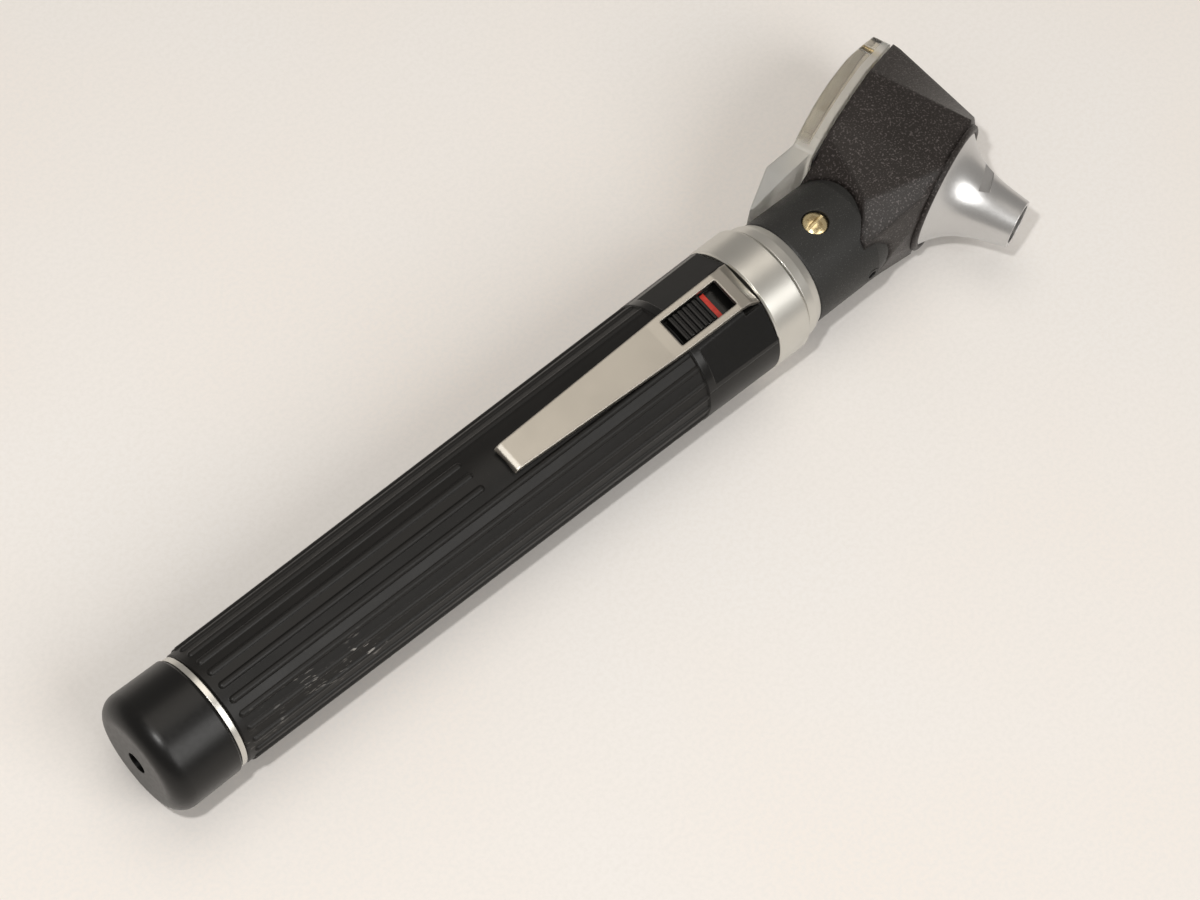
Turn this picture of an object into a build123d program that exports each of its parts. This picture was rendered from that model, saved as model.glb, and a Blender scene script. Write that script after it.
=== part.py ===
"""Pocket otoscope: a two-cell battery handle with a clip and slide switch, and a viewing head.

The pieces are drawn about the handle's own axis, which is X, with the head towards +X.
The speculum points to -Y and the viewing window faces +Y.  At the end every piece is
moved so that the otoscope lies on its side on the plane Z = 0, with its origin under
the middle of its bounding box.  All sizes are in millimetres.
"""
from build123d import *
from math import cos, radians, sin
import os

os.makedirs("parts", exist_ok=True)

# ------------------------------------------------------------------ driving dimensions

# Battery handle
handle_length = 95.4
handle_r_tail = 9.06
handle_r_head = 9.98
tube_bore_r = 7.7
thread_depth = 7.0
thread_bore_r = 8.1
skirt_start_x = 88.0
skirt_bore_r = 8.4
rib_count = 24
rib_r = 0.6
rib_height = 0.32
rib_start_x = 1.6
rib_end_x = 81.6
rib_offset_angle = -9.6
short_rib_end_x = 45.7
short_rib_angle = 17.0
running_gap = 0.08

# Roll of the handle about its axis, against the head's plane of symmetry
clip_roll = 6.1

# Cells, AA size
cell_r = 7.25
cell_length = 50.5
cell_nub_r = 2.7
cell_nub_height = 1.0
cell_sleeve = 0.2
rear_cell_x = -5.2

# End cap
cap_r = 9.03
cap_length = 10.5
cap_start_x = -1.0
cap_edge_r = 2.8
cap_end_wall = 2.0
cap_hole_r = 1.65
cap_bore_r = 7.6
cap_seat_r = 8.1
ring_r = 8.65
ring_bore_r = 7.5
ring_width = 0.8
spring_wire_r = 0.4

# Collar and the ring that carries the head
collar_r = 10.1
collar_length = 6.05
collar_bore_r = 7.35
skirt_wall = 0.6
neck_ring_start_x = 101.75
neck_ring_end_x = 104.8
neck_ring_r = 9.5
neck_ring_small_r = 8.7
liner_r = 7.0
liner_bore_r = 4.6
liner_end_x = 113.0

# Neck of the head
neck_r = 8.6
neck_straight_end_x = 116.8
neck_end_x = 121.6
neck_end_r = 4.4

# Optical axis: where the flare's base plane crosses it, and its angle below +X
axis_x = 134.5
axis_y = -4.66
axis_angle = 71.5

# Head housing, along the optical axis (s, negative towards the window),
# up the window (w, away from the handle) and across (z)
back_s = -17.2
front_s = -0.2
rim_r = 10.35
head_half_width = 9.8
top_w = 16.3
top_half_width = 4.0
crease_w = 7.0
crease_half_width = 8.4

# Speculum cone
cone_length = 12.15
cone_base_r = 9.15
cone_tip_r = 3.74
tip_bore_r = 3.05

# Bayonet notch in the cone
notch_s = 5.4
notch_width = 1.6
notch_angle = 68.0
notch_tilt = 12.7
notch_floor_r = 4.25
notch_half_length = 4.2

# Viewing window
plate_gap = 0.5
plate_thickness = 3.9
plate_dome_r = 120.0
pivot_w = 13.4
pivot_r = 0.9
pivot_head_r = 1.75

# Clip, in the handle's own roll
clip_tail_x = 50.6
clip_head_x = 95.15
clip_tail_half = 2.2
clip_head_half = 3.65
clip_thickness = 0.75
clip_flange = 1.05
window_start_x = 81.1
window_end_x = 91.5
window_half = 2.35
clip_gap = 0.28
clip_seat_x = 92.6
clip_seat_z = 9.0

# Slide switch
slider_start_x = 82.4
slider_end_x = 88.2
slider_half = 2.1
slider_bottom_z = 9.45
slider_top_z = 10.45
slider_travel = 2.85
contact_length = 2.2
contact_width = 1.6
contact_thickness = 0.25
contact_top_z = 8.38
switch_start_x = 82.0
track_floor_z = 9.0
cheek_start_x = 83.4
cheek_angle = 40.0
cheek_distance = 9.42

# Lamp and its contacts
lamp_base_r = 3.4
lamp_base_start_x = 98.2
lamp_base_end_x = 106.5
bulb_r = 2.7
bulb_end_x = 115.5

# ------------------------------------------------------------------ shared geometry

optical_axis = Vector(cos(radians(axis_angle)), -sin(radians(axis_angle)), 0)
window_up = Vector(sin(radians(axis_angle)), cos(radians(axis_angle)), 0)
flare_centre = Vector(axis_x, axis_y, 0)


def along(s, w=0.0, z=0.0):
    """A point at s along the optical axis, w up the window and z across."""
    return flare_centre + optical_axis * s + window_up * w + Vector(0, 0, z)


def cross_plane(s):
    """The plane square to the optical axis at s: its x is w, and its y is across."""
    return Plane(origin=along(s), x_dir=window_up, z_dir=optical_axis)


side_plane = Plane(origin=flare_centre, x_dir=optical_axis, z_dir=Vector(0, 0, 1))
optical_line = Axis(flare_centre, optical_axis)


def turned(points, plane=Plane.XY, axis=Axis.X):
    """A solid of revolution from a closed (length, radius) outline about an axis."""
    with BuildPart() as solid:
        with BuildSketch(plane):
            with BuildLine():
                Polyline(*points, close=True)
            make_face()
        revolve(axis=axis)
    return solid.part


def mirrored_pair(half):
    """The upper half of an outline, and its mirror image below the x axis."""
    return half + [(x, -y) for x, y in reversed(half)]


def handle_radius(x):
    return handle_r_tail + (handle_r_head - handle_r_tail) * x / handle_length


# ------------------------------------------------------------------ battery handle

tube_outline = [
    (0, 0),
    (0, handle_r_tail - 0.6),
    (0.25, handle_r_tail - rib_height),
    (rib_end_x + 0.2, handle_radius(rib_end_x) - rib_height),
    (rib_end_x + 0.4, handle_radius(rib_end_x)),
    (handle_length, handle_r_head),
    (handle_length, 0),
]

tube_bores = [
    (-1, 0),
    (-1, thread_bore_r),
    (thread_depth, thread_bore_r),
    (thread_depth, tube_bore_r),
    (skirt_start_x - 0.5, tube_bore_r),
    (skirt_start_x - 0.5, skirt_bore_r),
    (handle_length + 1, skirt_bore_r),
    (handle_length + 1, 0),
]


def rib(angle):
    """One round-ended rib along the tapered tube, at an angle from the top."""
    under_clip = abs((angle - rib_offset_angle + 180) % 360 - 180) < short_rib_angle
    end_x = short_rib_end_x if under_clip else rib_end_x
    start = Vector(rib_start_x, 0, handle_radius(rib_start_x) - rib_r)
    end = Vector(end_x, 0, handle_radius(end_x) - rib_r)
    with BuildPart() as bar:
        with BuildSketch(Plane(origin=start, z_dir=end - start)):
            Circle(rib_r)
        extrude(amount=(end - start).length)
        with Locations(start, end):
            Sphere(rib_r)
    return bar.part.rotate(Axis.X, angle)


switch_half = 8.9
switch_floor_z = 4.5

with BuildPart() as handle_tube:
    add(turned(tube_outline))
    for index in range(rib_count):
        add(rib(rib_offset_angle + index * 360 / rib_count))
    add(turned(tube_bores), mode=Mode.SUBTRACT)
    with BuildSketch(Plane.XY.offset(switch_floor_z)):
        with Locations(((switch_start_x + handle_length) / 2 + 1, 0)):
            Rectangle(handle_length - switch_start_x + 2, 4 * switch_half)
    extrude(amount=2 * handle_r_head, mode=Mode.SUBTRACT)

# The switch housing closes the notch in the tube, with a flat cheek on each side
with BuildPart() as switch_housing:
    add(turned([
        (switch_start_x + 0.05, skirt_bore_r),
        (switch_start_x + 0.05, handle_radius(switch_start_x)),
        (handle_length, handle_r_head),
        (handle_length, skirt_bore_r),
    ]))
    with BuildSketch(Plane.XY.offset(switch_floor_z + 0.05)):
        with Locations(((switch_start_x + handle_length) / 2, 0)):
            Rectangle(2 * handle_length, 4 * switch_half)
    extrude(amount=-4 * handle_r_head, mode=Mode.SUBTRACT)
    for angle in (-cheek_angle, cheek_angle):
        cheek_normal = Vector(0, sin(radians(angle)), cos(radians(angle)))
        cheek_origin = Vector(cheek_start_x, 0, 0) + cheek_normal * cheek_distance
        with BuildSketch(Plane(origin=cheek_origin, x_dir=(1, 0, 0), z_dir=cheek_normal)):
            with Locations((handle_length / 2, 0)):
                RectangleRounded(handle_length, 7.8, 1.2)
        extrude(amount=3, mode=Mode.SUBTRACT)
    with BuildSketch(Plane.XY.offset(track_floor_z)):
        with Locations(((switch_start_x + handle_length) / 2, 0)):
            Rectangle(2 * (handle_length - switch_start_x), 2 * slider_half + 0.6)
    extrude(amount=3, mode=Mode.SUBTRACT)
    with BuildSketch(Plane.XY.offset(track_floor_z - 2)):
        with Locations((85.6, 0)):
            Rectangle(5.8, 1.8)
    extrude(amount=4, mode=Mode.SUBTRACT)
    with BuildSketch(Plane.XY.offset(clip_seat_z - 0.25)):
        with Locations((clip_seat_x + 1.8, 0)):
            Rectangle(4.4, 2 * clip_head_half + 0.6)
    extrude(amount=4, mode=Mode.SUBTRACT)

# A red strip on the track's floor shows when the slider is at its on stop
with BuildPart() as switch_mark:
    with BuildSketch(Plane.XY.offset(track_floor_z)):
        with Locations(((88.75 + 89.55) / 2, 0)):
            Rectangle(0.8, 2 * slider_half + 0.2)
    extrude(amount=0.35)

with BuildPart() as collar:
    add(turned([
        (skirt_start_x, skirt_bore_r - 0.08 - skirt_wall),
        (skirt_start_x, skirt_bore_r - 0.08),
        (handle_length + 0.05, skirt_bore_r - 0.08),
        (handle_length + 0.05, collar_r - 0.3),
        (handle_length + 0.3, collar_r - 0.03),
        (handle_length + collar_length - 0.3, collar_r),
        (handle_length + collar_length, collar_r - 0.25),
        (handle_length + collar_length, collar_bore_r),
        (handle_length + 0.05, collar_bore_r),
        (handle_length + 0.05, skirt_bore_r - 0.08 - skirt_wall),
    ]))

# ------------------------------------------------------------------ cells

front_cell_x = rear_cell_x + cell_length


def cell_can(x):
    """Steel can with the positive nub towards the head."""
    shoulder = x + cell_length - cell_nub_height
    return turned([
        (x, 0),
        (x, cell_r - 1.2),
        (x + 0.5, cell_r - cell_sleeve),
        (shoulder - 0.4, cell_r - cell_sleeve),
        (shoulder, cell_r - 0.8),
        (shoulder, cell_nub_r),
        (shoulder + cell_nub_height, cell_nub_r),
        (shoulder + cell_nub_height, 0),
    ])


def cell_sleeve_tube(x):
    """Printed plastic sleeve over the can, left blank here."""
    return turned([
        (x + 0.6, cell_r - cell_sleeve + 0.01),
        (x + 0.6, cell_r),
        (x + cell_length - 1.5, cell_r),
        (x + cell_length - 1.5, cell_r - cell_sleeve + 0.01),
    ])


with BuildPart() as rear_cell:
    add(cell_can(rear_cell_x))

with BuildPart() as rear_cell_sleeve:
    add(cell_sleeve_tube(rear_cell_x))

with BuildPart() as front_cell:
    add(cell_can(front_cell_x + 0.02))

with BuildPart() as front_cell_sleeve:
    add(cell_sleeve_tube(front_cell_x + 0.02))

# ------------------------------------------------------------------ end cap

cap_end_x = cap_start_x - cap_length
cap_floor_x = cap_end_x + cap_end_wall

with BuildPart() as end_cap:
    with BuildSketch(Plane.XY):
        with BuildLine():
            Line((cap_end_x, cap_hole_r), (cap_end_x, cap_r - cap_edge_r))
            RadiusArc(
                (cap_end_x, cap_r - cap_edge_r),
                (cap_end_x + cap_edge_r, cap_r),
                cap_edge_r,
            )
            Polyline(
                (cap_end_x + cap_edge_r, cap_r),
                (cap_start_x - 0.4, cap_r - 0.1),
                (cap_start_x, cap_r - 0.45),
                (cap_start_x, cap_seat_r),
                (cap_start_x - 3, cap_seat_r),
                (cap_start_x - 3, cap_bore_r),
                (cap_floor_x, cap_bore_r),
                (cap_floor_x, cap_hole_r),
                (cap_end_x, cap_hole_r),
            )
        make_face()
    revolve(axis=Axis.X)

with BuildPart() as cap_ring:
    add(turned([
        (cap_start_x - 2.9, ring_bore_r),
        (cap_start_x - 2.9, cap_seat_r - 0.02),
        (cap_start_x + 0.05, cap_seat_r - 0.02),
        (cap_start_x + 0.05, ring_r),
        (cap_start_x + 0.05 + ring_width, ring_r),
        (cap_start_x + 0.05 + ring_width, thread_bore_r - running_gap),
        (thread_depth - 1.0, thread_bore_r - running_gap),
        (thread_depth - 0.5, thread_bore_r - running_gap - 0.3),
        (thread_depth - 0.5, ring_bore_r),
    ]))

# The battery spring sits on a contact disc in the cap's floor
with BuildPart() as spring_disc:
    add(turned([
        (cap_floor_x + 0.02, 2.0),
        (cap_floor_x + 0.02, 6.6),
        (cap_floor_x + 0.4, 6.6),
        (cap_floor_x + 0.4, 2.0),
    ]))

spring_start_x = cap_floor_x + 0.4 + spring_wire_r
spring_end_x = rear_cell_x - 0.15 - spring_wire_r
spring_turns = 2.5
spring_coil_r = 4.6

with BuildPart() as battery_spring:
    with BuildLine():
        coil = Helix(
            pitch=(spring_end_x - spring_start_x) / spring_turns,
            height=spring_end_x - spring_start_x,
            radius=spring_coil_r,
            center=(spring_start_x, 0, 0),
            direction=(1, 0, 0),
        )
    with BuildSketch(Plane(origin=coil @ 0, z_dir=coil % 0)):
        Circle(spring_wire_r)
    sweep(is_frenet=True)

# ------------------------------------------------------------------ clip and slider

clip_top = [
    (clip_tail_x, 9.75),
    (clip_tail_x + 0.3, 10.35),
    (clip_tail_x + 1.0, 10.62),
    (window_start_x - 2, 10.72),
    (window_end_x, 11.1),
    (window_end_x + 1.8, 10.95),
    (clip_head_x - 0.2, 9.75),
    (clip_head_x, 9.4),
]


def clip_body(thickness, side_inset, end_inset):
    """The clip's plan taper and its side profile, cut to one solid."""
    lower = [(x, z - thickness) for x, z in reversed(clip_top)]
    with BuildPart() as body:
        with BuildSketch(Plane.XZ):
            with BuildLine():
                Polyline(*clip_top, *lower, close=True)
            make_face()
        extrude(amount=10, both=True)
        with BuildSketch(Plane.XY):
            with BuildLine():
                Polyline(
                    (clip_tail_x - 1 + end_inset, clip_tail_half - side_inset),
                    (clip_tail_x + end_inset, clip_tail_half - side_inset),
                    (window_start_x, 3.25 - side_inset),
                    (window_end_x + 1, 3.35 - side_inset),
                    (clip_head_x - end_inset, clip_head_half - side_inset),
                    (clip_head_x - end_inset, side_inset - clip_head_half),
                    (window_end_x + 1, side_inset - 3.35),
                    (window_start_x, side_inset - 3.25),
                    (clip_tail_x + end_inset, side_inset - clip_tail_half),
                    (clip_tail_x - 1 + end_inset, side_inset - clip_tail_half),
                    close=True,
                )
            make_face()
        extrude(amount=20, mode=Mode.INTERSECT)
    return body.part


clip_hollow = clip_body(3.0, clip_thickness, clip_thickness).moved(Location((0, 0, -clip_thickness)))

with BuildPart() as clip:
    add(clip_body(clip_flange, 0, 0))
    add(clip_hollow, mode=Mode.SUBTRACT)
    with BuildSketch(Plane.XY):
        with Locations(((window_start_x + window_end_x) / 2, 0)):
            RectangleRounded(window_end_x - window_start_x, 2 * window_half, 0.25)
    extrude(amount=20, mode=Mode.SUBTRACT)
    add(turned([
        (0, 0), (0, handle_r_tail + clip_gap),
        (clip_seat_x, handle_radius(clip_seat_x) + clip_gap), (clip_seat_x, 0),
    ]), mode=Mode.SUBTRACT)
    with BuildSketch(Plane.XY.offset(clip_seat_z)):
        with Locations((clip_head_x, 0)):
            Rectangle(10, 10)
    extrude(amount=-5, mode=Mode.SUBTRACT)

rib_pitch = 0.9

with BuildPart() as switch_slider:
    with BuildSketch(Plane.XY.offset(slider_bottom_z)):
        with Locations(((slider_start_x + slider_end_x) / 2, 0)):
            Rectangle(slider_end_x - slider_start_x, 2 * slider_half)
    extrude(amount=slider_top_z - slider_bottom_z)
    with BuildSketch(Plane.XZ.offset(-slider_half - 1)):
        with Locations(*[(slider_start_x + 0.65 + i * rib_pitch, slider_top_z) for i in range(6)]):
            Rectangle(0.42, 0.8)
    extrude(amount=2 * slider_half + 2, mode=Mode.SUBTRACT)
    with BuildSketch(Plane.XY.offset(slider_bottom_z)):
        with Locations((84.15, 0)):
            Rectangle(2.2, 1.2)
    extrude(amount=8.4 - slider_bottom_z)

# The contact strip under the slider stops just short of the collar's skirt
contact_x = skirt_start_x - 0.05 - slider_travel - contact_length / 2

with BuildPart() as switch_contact:
    with BuildSketch(Plane.XY.offset(contact_top_z)):
        with Locations((contact_x, 0)):
            Rectangle(contact_length, contact_width)
    extrude(amount=-contact_thickness)

# ------------------------------------------------------------------ head: ring, neck and lamp

with BuildPart() as connector:
    add(turned([
        (97.6, liner_bore_r + 1.6),
        (97.6, collar_bore_r - running_gap),
        (neck_ring_start_x, collar_bore_r - running_gap),
        (neck_ring_start_x, neck_ring_r - 0.15),
        (neck_ring_start_x + 0.15, neck_ring_r),
        (neck_ring_start_x + 1.6, neck_ring_r - 0.15),
        (neck_ring_end_x, neck_ring_small_r),
        (neck_ring_end_x, liner_r),
        (liner_end_x, liner_r),
        (liner_end_x, liner_bore_r),
        (99.5, liner_bore_r),
        (99.5, liner_bore_r + 1.6),
    ]))
    with Locations(Location((110.7, 0, liner_r - 1.5))):
        Cylinder(0.85, 8, mode=Mode.SUBTRACT)

neck_outer = [
    (neck_ring_end_x + 0.02, 0),
    (neck_ring_end_x + 0.02, 8.45),
    (neck_ring_end_x + 0.4, 8.66),
    (neck_straight_end_x, neck_r),
    (neck_straight_end_x + 2.6, neck_r - 0.7),
    (neck_end_x - 0.6, neck_end_r + 1.6),
    (neck_end_x, neck_end_r),
    (neck_end_x, 0),
]

screw_x = 110.7
screw_seat_z = 7.85
port_x = 115.6
port_r = 1.15
port_bore_r = 0.7
lamp_clear_r = 4.7

# The light guide runs from the bulb to the underside of the speculum's base
light_route = [Vector(117.0, -2.4, 0), along(-5.2, -8.4), along(-1.6, -6.3), along(0.6, -5.9)]
light_guide_r = 0.8

with BuildPart() as light_path:
    with BuildLine():
        FilletPolyline(*light_route, radius=1.6)
    with BuildSketch(Plane(origin=light_route[0], z_dir=light_route[1] - light_route[0])):
        Circle(light_guide_r + 0.03)
    sweep()

with BuildPart() as neck_shell:
    add(turned(neck_outer))
    add(turned([(100, 0), (100, liner_r + 0.03), (liner_end_x + 0.1, liner_r + 0.03),
                (liner_end_x + 0.1, lamp_clear_r), (neck_end_x - 2.4, lamp_clear_r),
                (neck_end_x - 2.4, 0)]), mode=Mode.SUBTRACT)
    with Locations(Location((screw_x, 0, screw_seat_z + 2))):
        Cylinder(2.05, 4, mode=Mode.SUBTRACT)
    with Locations(Location((screw_x, 0, screw_seat_z - 1))):
        Cylinder(1.1, 6, mode=Mode.SUBTRACT)
    with BuildSketch(Plane(origin=(port_x, -5.2, 0), x_dir=(1, 0, 0), z_dir=(0, -1, 0))):
        Circle(port_r + 0.05)
    extrude(amount=6, mode=Mode.SUBTRACT)
    with BuildSketch(Plane(origin=(port_x, 0, 0), x_dir=(1, 0, 0), z_dir=(0, -1, 0))):
        Circle(port_bore_r + 0.05)
    extrude(amount=9, mode=Mode.SUBTRACT)
    add(light_path.part, mode=Mode.SUBTRACT)

with BuildPart() as lamp_screw:
    with BuildSketch(Plane.XZ):
        with BuildLine():
            screw_edge = (screw_x + 1.9, screw_seat_z + 0.35)
            screw_top = (screw_x, screw_seat_z + 0.95)
            Polyline(
                screw_top,
                (screw_x, 5.2),
                (screw_x + 0.8, 5.4),
                (screw_x + 0.8, screw_seat_z + 0.02),
                (screw_x + 1.9, screw_seat_z + 0.02),
                screw_edge,
            )
            RadiusArc(screw_edge, screw_top, -3.6)
        make_face()
    revolve(axis=Axis((screw_x, 0, 0), (0, 0, 1)))
    with Locations(Location((screw_x, 0, screw_seat_z + 0.95), (0, 0, 7))):
        Box(6, 0.5, 0.9, mode=Mode.SUBTRACT)

with BuildPart() as insufflation_port:
    with BuildSketch(Plane(origin=(port_x, -5.25, 0), x_dir=(1, 0, 0), z_dir=(0, -1, 0))):
        Circle(port_r)
        Circle(port_bore_r, mode=Mode.SUBTRACT)
    extrude(amount=neck_r - 5.25)

with BuildPart() as lamp_contact:
    add(turned([
        (front_cell_x + cell_length + 0.1, 0),
        (front_cell_x + cell_length + 0.1, 1.4),
        (97.2, 1.4),
        (97.2, 1.1),
        (lamp_base_start_x - 0.02, 1.1),
        (lamp_base_start_x - 0.02, 0),
    ]))

with BuildPart() as lamp_insulator:
    add(turned([
        (96.6, 1.42),
        (96.6, 5.6),
        (98.6, 5.6),
        (98.6, lamp_base_r + 0.02),
        (lamp_base_start_x - 0.02, lamp_base_r + 0.02),
        (lamp_base_start_x - 0.02, 1.15),
        (97.25, 1.15),
        (97.25, 1.42),
    ]))

with BuildPart() as lamp_base:
    add(turned([
        (lamp_base_start_x, 0),
        (lamp_base_start_x, lamp_base_r),
        (104.4, lamp_base_r),
        (104.4, lamp_base_r + 0.7),
        (105.2, lamp_base_r + 0.7),
        (105.2, lamp_base_r),
        (lamp_base_end_x, lamp_base_r - 0.2),
        (lamp_base_end_x, 0),
    ]))

with BuildPart() as lamp_bulb:
    with BuildSketch(Plane.XY):
        with BuildLine():
            bulb_start = lamp_base_end_x + 0.02
            bulb_straight = bulb_end_x - bulb_r
            Line((bulb_start, bulb_r - 0.45), (bulb_start, bulb_r))
            Line((bulb_start, bulb_r), (bulb_straight, bulb_r))
            RadiusArc((bulb_straight, bulb_r), (bulb_end_x, 0), bulb_r)
            Line((bulb_end_x, 0), (bulb_end_x - 0.45, 0))
            RadiusArc((bulb_end_x - 0.45, 0), (bulb_straight, bulb_r - 0.45), -(bulb_r - 0.45))
            Line((bulb_straight, bulb_r - 0.45), (bulb_start, bulb_r - 0.45))
        make_face()
    revolve(axis=Axis.X)

with BuildPart() as lamp_filament:
    with Locations((lamp_base_end_x + 2.6, 0.8, 0), (lamp_base_end_x + 2.6, -0.8, 0)):
        Cylinder(0.14, 5.1, rotation=(0, 90, 0))
    with Locations((lamp_base_end_x + 5.1, 0, 0)):
        Cylinder(0.3, 2.2, rotation=(90, 0, 0))

# ------------------------------------------------------------------ head housing

side_outline = [
    (back_s, top_w),
    (back_s + 2.6, top_w - 0.3),
    (front_s, rim_r + 0.25),
    (front_s, -rim_r + 0.1),
]

# Low corners, given about the handle axis, where the housing closes round the neck
low_corners = [(114.6, -8.3), (114.6, 7.4), tuple(along(back_s, -11.3))[:2]]


def head_section(top):
    """The housing seen along the optical axis, up to that height up the window."""
    return mirrored_pair([
        (top, top_half_width),
        (crease_w, crease_half_width),
        (1.0, head_half_width - 0.25),
        (-4.0, head_half_width),
        (-13.0, head_half_width - 0.3),
        (-32.0, head_half_width - 1.2),
    ])


def rim_tangent_plane(angle, point, side):
    """The plane through a point that touches the front rim at an angle from the window's up."""
    turn = radians(angle)
    touch = along(front_s, (rim_r + 0.05) * cos(turn), side * (rim_r + 0.05) * sin(turn))
    tangent = window_up * -sin(turn) + Vector(0, 0, side * cos(turn))
    normal = tangent.cross(point - touch).normalized()
    outward = touch - flare_centre
    return Plane(origin=touch, z_dir=normal if normal.dot(outward) > 0 else -normal)


# Two facets on each side run from the neck's underside to the front rim
low_crease_start = (114.4, -6.6, 6.1)
low_facet_angles = (110.0, 152.0)

cavity_back = mirrored_pair([(11.2, 3.6), (6.0, 6.4), (-3.5, 7.7), (-9.5, 6.6)])
cavity_front_r = 7.6
cavity_front = mirrored_pair([
    (cavity_front_r * cos(radians(angle)), cavity_front_r * sin(radians(angle)))
    for angle in (22.5, 67.5, 112.5, 157.5)
])
seal_outline = mirrored_pair([(12.2, 4.4), (crease_w, 7.4), (-3.5, 8.6), (-11.0, 7.4)])
pivot_foot_s = -13.0

low_facet_normal = Vector(-0.664, 0.199, 0.72)
low_facet_point = Vector(119.0, -0.6, 9.3)

# Everything outside a wide cone is trimmed off, which leaves the front face round
trim_floor_w = -7.5
front_trim = [(front_s, rim_r), (front_s + 5, rim_r), (front_s + 5, 60), (-40, 60), (-6, rim_r + 9)]

with BuildPart() as front_cutter:
    add(turned(front_trim, side_plane, optical_line))
    with BuildSketch(cross_plane(-50)):
        with Locations((trim_floor_w - 50, 0)):
            Rectangle(100, 200)
    extrude(amount=100, mode=Mode.SUBTRACT)

# The envelope's top falls from the window to the front rim, and its width stays the same
envelope_back_s = -30.0
envelope_front_s = 8.0
top_fall = (top_w - rim_r) / (front_s - back_s)

with BuildPart() as head_envelope:
    for section_s in (envelope_back_s, envelope_front_s):
        with BuildSketch(cross_plane(section_s)):
            with BuildLine():
                Polyline(*head_section(top_w + 0.3 - (section_s - back_s) * top_fall), close=True)
            make_face()
    loft(ruled=True)

with BuildPart() as head_housing:
    with BuildSketch(Plane.XY.offset(-15)):
        with BuildLine():
            Polyline(
                *[tuple(along(s, w))[:2] for s, w in side_outline],
                *low_corners,
                close=True,
            )
        make_face()
    extrude(amount=30)
    add(head_envelope.part, mode=Mode.INTERSECT)
    for side in (1, -1):
        for angle in low_facet_angles:
            start = Vector(low_crease_start[0], low_crease_start[1], side * low_crease_start[2])
            with BuildSketch(rim_tangent_plane(angle, start, side)):
                Rectangle(80, 80)
            extrude(amount=20, mode=Mode.SUBTRACT)
        facet_normal = Vector(low_facet_normal.X, low_facet_normal.Y, side * low_facet_normal.Z)
        facet_point = Vector(low_facet_point.X, low_facet_point.Y, side * low_facet_point.Z)
        with BuildSketch(Plane(origin=facet_point, z_dir=facet_normal)):
            Rectangle(60, 60)
        extrude(amount=20, mode=Mode.SUBTRACT)
    add(front_cutter.part, mode=Mode.SUBTRACT)
    add(turned([(90, 0), (90, neck_r + 0.03), (neck_straight_end_x, neck_r + 0.03)]
               + [(x + 0.03, r) for x, r in neck_outer[4:]]), mode=Mode.SUBTRACT)

    with BuildSketch(cross_plane(back_s - 0.1)):
        with BuildLine():
            Polyline(*cavity_back, close=True)
        make_face()
    with BuildSketch(cross_plane(-1.6)):
        with BuildLine():
            Polyline(*cavity_front, close=True)
        make_face()
    loft(mode=Mode.SUBTRACT)
    with BuildSketch(cross_plane(-1.7)):
        Circle(cavity_front_r)
    extrude(amount=3, mode=Mode.SUBTRACT)
    with BuildSketch(cross_plane(pivot_foot_s)):
        with Locations((pivot_w, 0)):
            Circle(pivot_r + 0.02)
    extrude(amount=-8, mode=Mode.SUBTRACT)
    add(light_path.part, mode=Mode.SUBTRACT)

with BuildPart() as light_guide:
    with BuildLine():
        FilletPolyline(*light_route, radius=1.6)
    with BuildSketch(Plane(origin=light_route[0], z_dir=light_route[1] - light_route[0])):
        Circle(light_guide_r)
    sweep()

with BuildPart() as retainer_ring:
    add(turned([
        (front_s + 0.02, cone_base_r + 0.05),
        (front_s + 0.75, cone_base_r + 0.05),
        (front_s + 0.75, rim_r - 0.45),
        (front_s + 0.5, rim_r - 0.15),
        (front_s + 0.02, rim_r - 0.05),
    ], side_plane, optical_line))

# ------------------------------------------------------------------ speculum cone

# Outer radius of the trumpet at distances from its base
cone_profile = [(0.35, cone_base_r), (1.2, 8.1), (3.9, 6.0), (8.0, 4.55), (cone_length, cone_tip_r)]
cone_bore = [(-1.4, 7.0), (0.8, 6.8), (3.9, 4.1), (8.0, 3.4), (10.3, tip_bore_r)]

notch_out = window_up * cos(radians(notch_angle)) + Vector(0, 0, sin(radians(notch_angle)))
notch_round = window_up * -sin(radians(notch_angle)) + Vector(0, 0, cos(radians(notch_angle)))
notch_run = notch_round * cos(radians(notch_tilt)) + optical_axis * sin(radians(notch_tilt))
notch_floor = along(notch_s) + notch_out * notch_floor_r

with BuildPart() as speculum_cone:
    with BuildSketch(side_plane):
        with BuildLine():
            Spline(*cone_profile)
            Polyline(cone_profile[-1], (cone_length, tip_bore_r), cone_bore[-1])
            Polyline(
                *reversed(cone_bore),
                (-1.4, cavity_front_r - 0.03),
                (front_s + 0.02, cavity_front_r - 0.03),
                (front_s + 0.02, cone_base_r),
                cone_profile[0],
            )
        make_face()
    revolve(axis=optical_line)
    with BuildSketch(Plane(origin=notch_floor, x_dir=notch_run, z_dir=notch_out)):
        Rectangle(2 * notch_half_length, notch_width)
    extrude(amount=5, mode=Mode.SUBTRACT)

# ------------------------------------------------------------------ swivelling window

plate_s = back_s - plate_gap

plate_outline = mirrored_pair([
    (top_w + 0.6, 3.3),
    (crease_w, 8.0),
    (1.0, 9.1),
    (-4.0, 9.3),
    (-11.0, 7.9),
])

tab_outline = mirrored_pair([(-8.0, 8.6), (-15.0, 6.3), (-22.0, 3.0)])

# Side view of the thumb tab: it rises off the plate to pass over the neck
tab_profile = [
    (plate_s, -8.0),
    (plate_s, -9.4),
    (plate_s - 3.8, -20.6),
    (plate_s - 4.2, -21.0),
    (plate_s - 5.0, -15.0),
    (plate_s - 2.8, -9.6),
    (plate_s - 2.8, -8.0),
]

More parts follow.
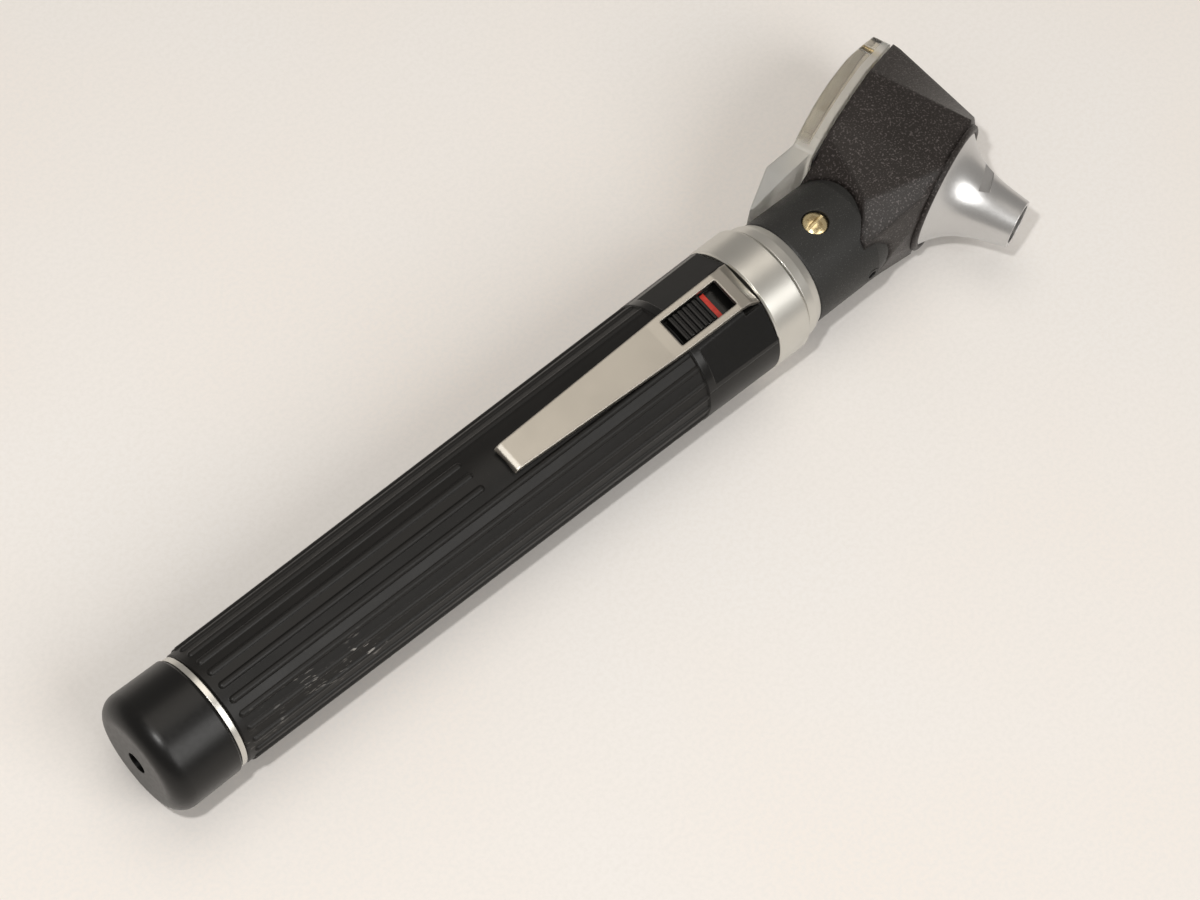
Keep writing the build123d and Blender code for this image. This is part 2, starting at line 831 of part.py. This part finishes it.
with BuildPart() as thumb_tab:
    with BuildSketch(side_plane):
        with BuildLine():
            Polyline(*tab_profile, close=True)
        make_face()
    extrude(amount=10, both=True)
    with BuildSketch(cross_plane(-40)):
        with BuildLine():
            Polyline(*tab_outline, close=True)
        make_face()
    extrude(amount=60, mode=Mode.INTERSECT)

with BuildPart() as window_plate:
    with BuildSketch(cross_plane(plate_s)) as plate_sketch:
        with BuildLine():
            Polyline(*plate_outline, close=True)
        make_face()
        fillet(plate_sketch.vertices(), radius=1.4)
    extrude(amount=-6)
    with Locations(along(plate_s - plate_thickness + plate_dome_r)):
        Sphere(plate_dome_r, mode=Mode.INTERSECT)
    add(thumb_tab.part)
    with BuildSketch(cross_plane(0)):
        with Locations((pivot_w, 0)):
            Circle(pivot_r + running_gap)
    extrude(amount=-40, mode=Mode.SUBTRACT)

pivot_top_s = plate_s - plate_thickness + 0.48

with BuildPart() as window_pivot:
    with BuildSketch(cross_plane(pivot_foot_s - 0.05)):
        with Locations((pivot_w, 0)):
            Circle(pivot_r)
    extrude(amount=pivot_top_s - pivot_foot_s)
    with BuildSketch(cross_plane(pivot_top_s)):
        with Locations((pivot_w, 0)):
            Circle(pivot_head_r)
    extrude(amount=-0.6)

with BuildPart() as window_seal:
    with BuildSketch(cross_plane(back_s - 0.02)):
        with BuildLine():
            Polyline(*seal_outline, close=True)
        make_face()
        with BuildLine():
            Polyline(*cavity_back, close=True)
        make_face(mode=Mode.SUBTRACT)
    extrude(amount=-0.22)

# ------------------------------------------------------------------ placing and writing

handle_pieces = {
    "handle_tube": handle_tube,
    "switch_housing": switch_housing,
    "switch_mark": switch_mark,
    "collar": collar,
    "rear_cell": rear_cell,
    "rear_cell_sleeve": rear_cell_sleeve,
    "front_cell": front_cell,
    "front_cell_sleeve": front_cell_sleeve,
    "end_cap": end_cap,
    "cap_ring": cap_ring,
    "spring_disc": spring_disc,
    "battery_spring": battery_spring,
    "clip": clip,
    "switch_slider": switch_slider,
    "switch_contact": switch_contact,
}

head_pieces = {
    "connector": connector,
    "neck_shell": neck_shell,
    "lamp_screw": lamp_screw,
    "insufflation_port": insufflation_port,
    "lamp_contact": lamp_contact,
    "lamp_insulator": lamp_insulator,
    "lamp_base": lamp_base,
    "lamp_bulb": lamp_bulb,
    "lamp_filament": lamp_filament,
    "head_housing": head_housing,
    "light_guide": light_guide,
    "retainer_ring": retainer_ring,
    "speculum_cone": speculum_cone,
    "window_plate": window_plate,
    "window_pivot": window_pivot,
    "window_seal": window_seal,
}

roll = Location((0, 0, 0), (clip_roll, 0, 0))
placed = {name: piece.part.moved(roll) for name, piece in handle_pieces.items()}
placed.update({name: piece.part for name, piece in head_pieces.items()})

boxes = [solid.bounding_box() for solid in placed.values()]
low = Vector(min(b.min.X for b in boxes), min(b.min.Y for b in boxes), min(b.min.Z for b in boxes))
high = Vector(max(b.max.X for b in boxes), max(b.max.Y for b in boxes), max(b.max.Z for b in boxes))
origin = Vector((low.X + high.X) / 2, (low.Y + high.Y) / 2, low.Z)

for name, solid in placed.items():
    finished = solid.moved(Location(-origin))
    finished.label = name
    export_step(finished, f"parts/{name}.step")

print("origin", tuple(origin), "size", tuple(high - low))
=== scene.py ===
"""Looks of the pocket otoscope: materials with softened edges, floor, camera and light.

Everything is in metres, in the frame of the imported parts: the handle's axis is along X
with the head towards +X, the speculum points to -Y, and the floor is Z = 0.
"""

import math

import bmesh
import bpy
from mathutils import Matrix, Vector


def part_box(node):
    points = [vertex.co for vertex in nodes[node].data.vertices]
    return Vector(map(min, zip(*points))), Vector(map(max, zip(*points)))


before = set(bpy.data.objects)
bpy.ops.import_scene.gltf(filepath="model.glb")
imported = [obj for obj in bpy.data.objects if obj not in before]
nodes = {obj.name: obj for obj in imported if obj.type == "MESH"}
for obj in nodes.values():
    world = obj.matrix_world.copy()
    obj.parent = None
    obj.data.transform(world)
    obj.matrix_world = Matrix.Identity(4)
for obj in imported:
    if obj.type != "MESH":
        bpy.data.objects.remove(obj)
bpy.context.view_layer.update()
MM = 0.001

# ------------------------------------------------------------------ places read from the frame


def middle(node):
    low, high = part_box(node)
    return (low + high) / 2


handle_axis = middle("cap_ring")
tail_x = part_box("handle_tube")[0].x
optical_angle = math.radians(71.5)
optical_axis = Vector((math.cos(optical_angle), -math.sin(optical_angle), 0))
window_up = Vector((math.sin(optical_angle), math.cos(optical_angle), 0))


def furthest(node, direction):
    """How far the node's points reach that way, from the frame's origin."""
    held = nodes[node]
    return max((held.matrix_world @ point.co).dot(direction) for point in held.data.vertices)


plate_face_s = furthest("window_plate", optical_axis)
plate_top_w = furthest("window_plate", window_up)

# ------------------------------------------------------------------ materials


class Surface:
    """A node material built round one Principled shader, in the object's own metres."""

    def __init__(self, name, colour, roughness, metallic=0.0, soft_edge=0.1 * MM):
        self.made = bpy.data.materials.new(name)
        self.made.use_nodes = True
        self.tree = self.made.node_tree
        self.shader = self.tree.nodes["Principled BSDF"]
        self.place = self.add("ShaderNodeTexCoord").outputs["Object"]
        rounded = self.add("ShaderNodeBevel", samples=6)
        rounded.inputs["Radius"].default_value = soft_edge
        self.bumps = rounded.outputs["Normal"]
        self.drive("Normal", self.bumps)
        self.set("Base Color", (*colour, 1.0))
        self.set("Roughness", roughness)
        self.set("Metallic", metallic)

    def add(self, kind, **settings):
        node = self.tree.nodes.new(kind)
        for key, value in settings.items():
            setattr(node, key, value)
        return node

    def set(self, socket, value):
        self.shader.inputs[socket].default_value = value

    def link(self, source, socket):
        self.tree.links.new(source, socket)

    def shine(self, level):
        """How strongly a plastic reflects: 0.5 is polished, less is dull or oily-matt."""
        self.set("Specular IOR Level", level)

    def drive(self, socket, source):
        self.link(source, self.shader.inputs[socket])

    def mapped(self, scale=(1, 1, 1), turn=0.0):
        """The object's coordinates, turned about Z and then stretched along each axis."""
        turned = self.add("ShaderNodeMapping")
        turned.inputs["Rotation"].default_value = (0, 0, turn)
        self.link(self.place, turned.inputs["Vector"])
        stretched = self.add("ShaderNodeMapping")
        stretched.inputs["Scale"].default_value = scale
        self.link(turned.outputs[0], stretched.inputs["Vector"])
        return stretched.outputs[0]

    def noise(self, size, detail=3.0, where=None, rough=0.5):
        """Noise with features of about that size in metres."""
        node = self.add("ShaderNodeTexNoise")
        node.inputs["Scale"].default_value = 1 / size
        node.inputs["Detail"].default_value = detail
        node.inputs["Roughness"].default_value = rough
        self.link(where or self.place, node.inputs["Vector"])
        return node.outputs["Fac"]

    def between(self, source, low, high, start=0.0, end=1.0):
        """source from low..high, as start..end, clamped and smooth."""
        node = self.add("ShaderNodeMapRange", interpolation_type="SMOOTHSTEP")
        values = {"From Min": low, "From Max": high, "To Min": start, "To Max": end}
        for key, value in values.items():
            node.inputs[key].default_value = value
        self.link(source, node.inputs["Value"])
        return node.outputs["Result"]

    def along(self, axis):
        """One coordinate of the place."""
        split = self.add("ShaderNodeSeparateXYZ")
        self.link(self.place, split.inputs[0])
        return split.outputs[axis]

    def reach(self, direction):
        """How far the place lies along a direction, from the frame's origin."""
        node = self.add("ShaderNodeVectorMath", operation="DOT_PRODUCT")
        self.link(self.place, node.inputs[0])
        node.inputs[1].default_value = direction
        return node.outputs["Value"]

    def maths(self, operation, first, second):
        node = self.add("ShaderNodeMath", operation=operation)
        for index, value in enumerate((first, second)):
            if isinstance(value, (int, float)):
                node.inputs[index].default_value = value
            else:
                self.link(value, node.inputs[index])
        return node.outputs[0]

    def blend(self, amount, first, second):
        """Colour first where amount is 0, second where it is 1."""
        node = self.add("ShaderNodeMix", data_type="RGBA")
        self.link(amount, node.inputs["Factor"])
        for name, value in (("A", first), ("B", second)):
            socket = [s for s in node.inputs if s.name == name and s.type == "RGBA"][0]
            if isinstance(value, tuple):
                socket.default_value = (*value, 1.0)
            else:
                self.link(value, socket)
        return [s for s in node.outputs if s.type == "RGBA"][0]

    def bump(self, height, depth, strength=1.0):
        """Raises the surface by depth in metres where height is 1."""
        node = self.add("ShaderNodeBump")
        node.inputs["Strength"].default_value = strength
        node.inputs["Distance"].default_value = depth
        self.link(height, node.inputs["Height"])
        self.link(self.bumps, node.inputs["Normal"])
        self.bumps = node.outputs["Normal"]
        self.drive("Normal", self.bumps)


def handle_plastic():
    """Matt black moulding with a fine grain, and pale scuffs on one side near the tail."""
    s = Surface("grip_plastic", (0.009, 0.0085, 0.008), 0.45, soft_edge=0.12 * MM)
    s.shine(0.3)
    grain = s.noise(0.16 * MM, 4)
    cloud = s.noise(9 * MM, 2)
    base = s.blend(s.between(cloud, 0.3, 0.75), (0.004, 0.0037, 0.0032), (0.0055, 0.005, 0.0044))
    specks = s.between(s.noise(0.22 * MM, 3, rough=0.7), 0.64, 0.76)
    base = s.blend(specks, base, (0.028, 0.026, 0.023))
    scratch_place = s.mapped((0.16, 1, 1), turn=0.12)
    scratch = s.between(s.noise(0.3 * MM, 4, scratch_place), 0.59, 0.66)
    patch = s.between(s.noise(5 * MM, 2), 0.42, 0.6)
    scuff_end_x = tail_x + 29 * MM
    near_tail = s.between(s.along("X"), scuff_end_x - 9 * MM, scuff_end_x, 1.0, 0.0)
    outer_side = s.between(s.along("Y"), handle_axis.y - 7.2 * MM, handle_axis.y - 5.6 * MM, 1.0, 0.0)
    upper_side = s.between(s.along("Z"), handle_axis.z + 1.0 * MM, handle_axis.z + 2.5 * MM)
    where = s.maths("MULTIPLY", s.maths("MULTIPLY", near_tail, outer_side), upper_side)
    wear = s.maths("MULTIPLY", s.maths("MULTIPLY", scratch, patch), where)
    s.drive("Base Color", s.blend(wear, base, (0.22, 0.21, 0.195)))
    s.drive("Roughness", s.between(cloud, 0.3, 0.75, 0.4, 0.47))
    s.bump(grain, 0.012 * MM, 0.6)
    return s.made


def gloss_plastic(name="gloss_plastic", roughness=0.2, colour=(0.005, 0.0049, 0.0046), soft_edge=0.3 * MM):
    """Smooth black moulding with faint haze."""
    s = Surface(name, colour, roughness, soft_edge=soft_edge)
    s.shine(0.34)
    haze = s.noise(6 * MM, 3)
    dull = tuple(c * 1.15 for c in colour)
    s.drive("Base Color", s.blend(s.between(haze, 0.35, 0.7), colour, dull))
    fine = s.noise(0.6 * MM, 4)
    s.drive("Roughness", s.between(fine, 0.3, 0.75, roughness * 0.93, roughness * 1.08))
    s.bump(s.noise(0.3 * MM, 3), 0.003 * MM, 0.3)
    return s.made


def head_plastic():
    """Brown-black moulding with a sparkling grain."""
    s = Surface("head_plastic", (0.014, 0.0105, 0.009), 0.4, soft_edge=1.3 * MM)
    s.shine(0.36)
    grain = s.noise(0.2 * MM, 3, rough=0.65)
    cloud = s.noise(12 * MM, 2)
    base = s.blend(s.between(cloud, 0.35, 0.7), (0.0125, 0.0095, 0.008), (0.0165, 0.013, 0.0115))
    speck = s.between(s.noise(0.3 * MM, 2, rough=0.6), 0.54, 0.68)
    s.drive("Base Color", s.blend(speck, base, (0.085, 0.073, 0.071)))
    s.drive("Roughness", s.between(grain, 0.35, 0.7, 0.48, 0.34))
    s.bump(grain, 0.035 * MM, 0.6)
    return s.made


def neck_plastic():
    """Charcoal moulding with a fine matt grain."""
    s = Surface("neck_plastic", (0.017, 0.017, 0.016), 0.5, soft_edge=0.2 * MM)
    s.shine(0.34)
    grain = s.noise(0.18 * MM, 3, rough=0.6)
    cloud = s.noise(9 * MM, 2)
    base = s.blend(s.between(cloud, 0.35, 0.7), (0.0155, 0.0155, 0.0148), (0.019, 0.019, 0.018))
    s.drive("Base Color", s.blend(s.between(grain, 0.58, 0.72), base, (0.06, 0.06, 0.057)))
    s.drive("Roughness", s.between(grain, 0.35, 0.7, 0.55, 0.42))
    s.bump(grain, 0.025 * MM, 0.5)
    return s.made


def satin_metal(name, colour, roughness, lines, turn=0.0, soft_edge=0.12 * MM):
    """Turned or blasted metal: lines is how far each axis stretches the tool marks."""
    s = Surface(name, colour, roughness, metallic=1.0, soft_edge=soft_edge)
    marks = s.noise(0.08 * MM, 3, s.mapped(lines, turn))
    blotch = s.noise(8 * MM, 2)
    dull = tuple(c * 0.94 for c in colour)
    s.drive("Base Color", s.blend(s.between(blotch, 0.35, 0.65), dull, colour))
    s.drive("Roughness", s.between(marks, 0.3, 0.7, roughness * 0.88, roughness * 1.15))
    s.bump(marks, 0.004 * MM, 0.5)
    return s.made


def brass():
    s = Surface("brass", (0.78, 0.62, 0.33), 0.24, metallic=1.0)
    tarnish = s.between(s.noise(0.8 * MM, 4), 0.4, 0.7)
    s.drive("Base Color", s.blend(tarnish, (0.82, 0.68, 0.40), (0.55, 0.42, 0.22)))
    s.drive("Roughness", s.between(s.noise(0.3 * MM, 3), 0.3, 0.7, 0.18, 0.34))
    s.bump(s.noise(0.12 * MM, 3), 0.004 * MM, 0.5)
    return s.made


def clear_plastic():
    """Slightly yellowed acrylic: frosted against the housing and on the tab, clear between."""
    s = Surface("clear_acrylic", (0.93, 0.91, 0.84), 0.1, soft_edge=0.35 * MM)
    band_depth, band_blur = 1.0 * MM, 0.4 * MM
    tab_w = plate_top_w - 26 * MM
    s.set("IOR", 1.49)
    smear = s.noise(1.6 * MM, 4)
    band_s = plate_face_s - band_depth
    band = s.between(s.reach(optical_axis), band_s - band_blur, band_s)
    tab = s.between(s.reach(window_up), tab_w - 1.5 * MM, tab_w + 1.0 * MM, 1.0, 0.0)
    frost = s.maths("MAXIMUM", band, tab)
    clear = s.blend(s.between(smear, 0.35, 0.7), (0.95, 0.92, 0.83), (0.90, 0.86, 0.75))
    s.drive("Base Color", s.blend(frost, clear, (0.9, 0.9, 0.87)))
    handled = s.between(smear, 0.35, 0.75, 0.06, 0.14)
    s.drive("Roughness", s.maths("ADD", handled, s.between(frost, 0.0, 1.0, 0.0, 0.3)))
    s.drive("Transmission Weight", s.between(frost, 0.0, 1.0, 1.0, 0.8))
    s.bump(s.noise(0.9 * MM, 2), 0.005 * MM, 0.4)
    return s.made


def clear_glass():
    s = Surface("bulb_glass", (1.0, 1.0, 1.0), 0.02)
    s.set("Transmission Weight", 1.0)
    s.set("IOR", 1.47)
    s.drive("Roughness", s.between(s.noise(1.0 * MM, 2), 0.4, 0.7, 0.01, 0.05))
    s.bump(s.noise(0.8 * MM, 2), 0.003 * MM, 0.3)
    return s.made


def painted(name, first, second, roughness, size):
    """A plain moulded or painted finish with a mottle of that size."""
    s = Surface(name, first, roughness)
    mottle = s.noise(size, 4)
    s.drive("Base Color", s.blend(s.between(mottle, 0.35, 0.7), first, second))
    s.drive("Roughness", s.between(mottle, 0.3, 0.7, roughness * 0.85, roughness * 1.2))
    s.bump(s.noise(size / 6, 3), 0.006 * MM, 0.4)
    return s.made


def glowing_wire():
    s = Surface("filament", (0.5, 0.45, 0.4), 0.4, metallic=1.0)
    s.set("Emission Color", (1.0, 0.82, 0.6, 1.0))
    s.set("Emission Strength", 30.0)
    s.drive("Roughness", s.between(s.noise(0.1 * MM, 2), 0.3, 0.7, 0.3, 0.5))
    s.bump(s.noise(0.1 * MM, 2), 0.003 * MM, 0.3)
    return s.made


round_handle = (12, 0.25, 0.25)
round_cone = (12, 0.25, 0.25)
finishes = {
    "grip": handle_plastic(),
    "gloss": gloss_plastic(),
    "cap": gloss_plastic("cap_plastic", 0.34, (0.002, 0.0019, 0.0018), 0.15 * MM),
    "head": head_plastic(),
    "neck": neck_plastic(),
    "aluminium": satin_metal("satin_aluminium", (0.66, 0.65, 0.61), 0.33, round_handle),
    "cone": satin_metal("cone_aluminium", (0.64, 0.64, 0.64), 0.3, round_cone, optical_angle),
    "steel": satin_metal("clip_steel", (0.44, 0.415, 0.37), 0.34, (1.5, 1.5, 1.5), soft_edge=0.35 * MM),
    "spring": satin_metal("spring_steel", (0.6, 0.6, 0.6), 0.3, (3, 1, 1)),
    "brass": brass(),
    "red": painted("red_mark", (0.48, 0.025, 0.01), (0.36, 0.016, 0.008), 0.4, 0.7 * MM),
    "clear": clear_plastic(),
    "glass": clear_glass(),
    "can": satin_metal("cell_can", (0.7, 0.7, 0.7), 0.25, (8, 0.3, 0.3)),
    "sleeve": painted("cell_sleeve", (0.10, 0.13, 0.17), (0.12, 0.15, 0.19), 0.35, 3 * MM),
    "insulator": painted("insulator", (0.55, 0.53, 0.47), (0.62, 0.60, 0.54), 0.5, 1.5 * MM),
    "fibre": painted("fibre", (0.75, 0.75, 0.72), (0.65, 0.66, 0.66), 0.2, 0.4 * MM),
    "seal": painted("seal", (0.012, 0.012, 0.012), (0.02, 0.02, 0.02), 0.7, 1.0 * MM),
    "filament": glowing_wire(),
}

node_finish = {
    "handle_tube": "grip", "switch_housing": "gloss", "switch_mark": "red", "collar": "aluminium",
    "rear_cell": "can", "front_cell": "can", "rear_cell_sleeve": "sleeve", "front_cell_sleeve": "sleeve",
    "end_cap": "cap", "cap_ring": "aluminium", "spring_disc": "spring", "battery_spring": "spring",
    "clip": "steel", "switch_slider": "gloss", "switch_contact": "brass", "connector": "aluminium",
    "neck_shell": "neck", "lamp_screw": "brass", "insufflation_port": "neck", "lamp_contact": "brass",
    "lamp_insulator": "insulator", "lamp_base": "brass", "lamp_bulb": "glass",
    "lamp_filament": "filament", "head_housing": "head", "light_guide": "fibre",
    "retainer_ring": "head", "speculum_cone": "cone", "window_plate": "clear",
    "window_pivot": "brass", "window_seal": "seal",
}
for name, finish in node_finish.items():
    for held in nodes[name].material_slots:
        held.material = finishes[finish]

# ------------------------------------------------------------------ floor


def make_floor():
    """A large sheet of paper, a little uneven."""
    half, cells = 0.9, 60
    sheet = bmesh.new()
    bmesh.ops.create_grid(sheet, x_segments=cells, y_segments=cells, size=half)
    mesh = bpy.data.meshes.new("paper")
    sheet.to_mesh(mesh)
    sheet.free()
    paper = bpy.data.objects.new("paper", mesh)
    bpy.context.collection.objects.link(paper)
    s = Surface("paper", (0.8, 0.78, 0.75), 0.75)
    fibre = s.noise(0.7 * MM, 5, rough=0.6)
    cloud = s.noise(60 * MM, 3)
    tone = s.blend(s.between(cloud, 0.3, 0.7), (0.805, 0.76, 0.72), (0.795, 0.775, 0.755))
    s.drive("Base Color", s.blend(s.between(fibre, 0.35, 0.7), tone, (0.77, 0.745, 0.718)))
    s.drive("Roughness", s.between(fibre, 0.3, 0.7, 0.7, 0.85))
    s.bump(fibre, 0.03 * MM, 0.4)
    mesh.materials.append(s.made)
    paper.location.z = -0.02 * MM


make_floor()

# ------------------------------------------------------------------ camera

view_target = Vector((tail_x + 70.27 * MM, handle_axis.y - 0.91 * MM, 0))
view_distance = 427.6 * MM
view_heading = math.radians(-50.65)
view_height = math.radians(60.9)
view_roll = math.radians(9.38)
lens_mm = 90
film_mm = 36


def place_on_dome(heading, height, distance, target=view_target):
    """A point seen from the target at that heading and height above the floor."""
    flat = math.cos(height)
    outwards = Vector((math.sin(heading) * flat, -math.cos(heading) * flat, math.sin(height)))
    return target + distance * outwards


def make_camera():
    data = bpy.data.cameras.new("view")
    data.lens = lens_mm
    data.sensor_width = film_mm
    data.clip_start = 0.01
    data.clip_end = 20
    camera = bpy.data.objects.new("view", data)
    bpy.context.collection.objects.link(camera)
    camera.location = place_on_dome(view_heading, view_height, view_distance)
    back = (camera.location - view_target).normalized()
    level = back.to_track_quat("Z", "Y").to_matrix()
    camera.rotation_euler = (level @ Matrix.Rotation(view_roll, 3, "Z")).to_euler()
    bpy.context.scene.camera = camera


make_camera()

# ------------------------------------------------------------------ light


def make_light(name, heading, height, distance, size, watts, colour):
    data = bpy.data.lights.new(name, "AREA")
    data.shape = "DISK"
    data.size = size
    data.energy = watts
    data.color = colour
    light = bpy.data.objects.new(name, data)
    bpy.context.collection.objects.link(light)
    light.location = place_on_dome(math.radians(heading), math.radians(height), distance)
    light.rotation_euler = (light.location - view_target).to_track_quat("Z", "Y").to_euler()


make_light("window_light", 8, 40, 1.1, 0.75, 5.4, (1.0, 0.985, 0.96))
make_light("flash", -72, 66, 0.47, 0.022, 0.8, (1.0, 0.99, 0.97))
make_light("ceiling", 150, 75, 1.2, 0.9, 2.6, (1.0, 0.93, 0.84))

world = bpy.data.worlds.new("room")
world.use_nodes = True
world.node_tree.nodes["Background"].inputs["Color"].default_value = (0.95, 0.9, 0.84, 1)
world.node_tree.nodes["Background"].inputs["Strength"].default_value = 0.38
bpy.context.scene.world = world
bpy.context.scene.view_settings.view_transform = "Standard"
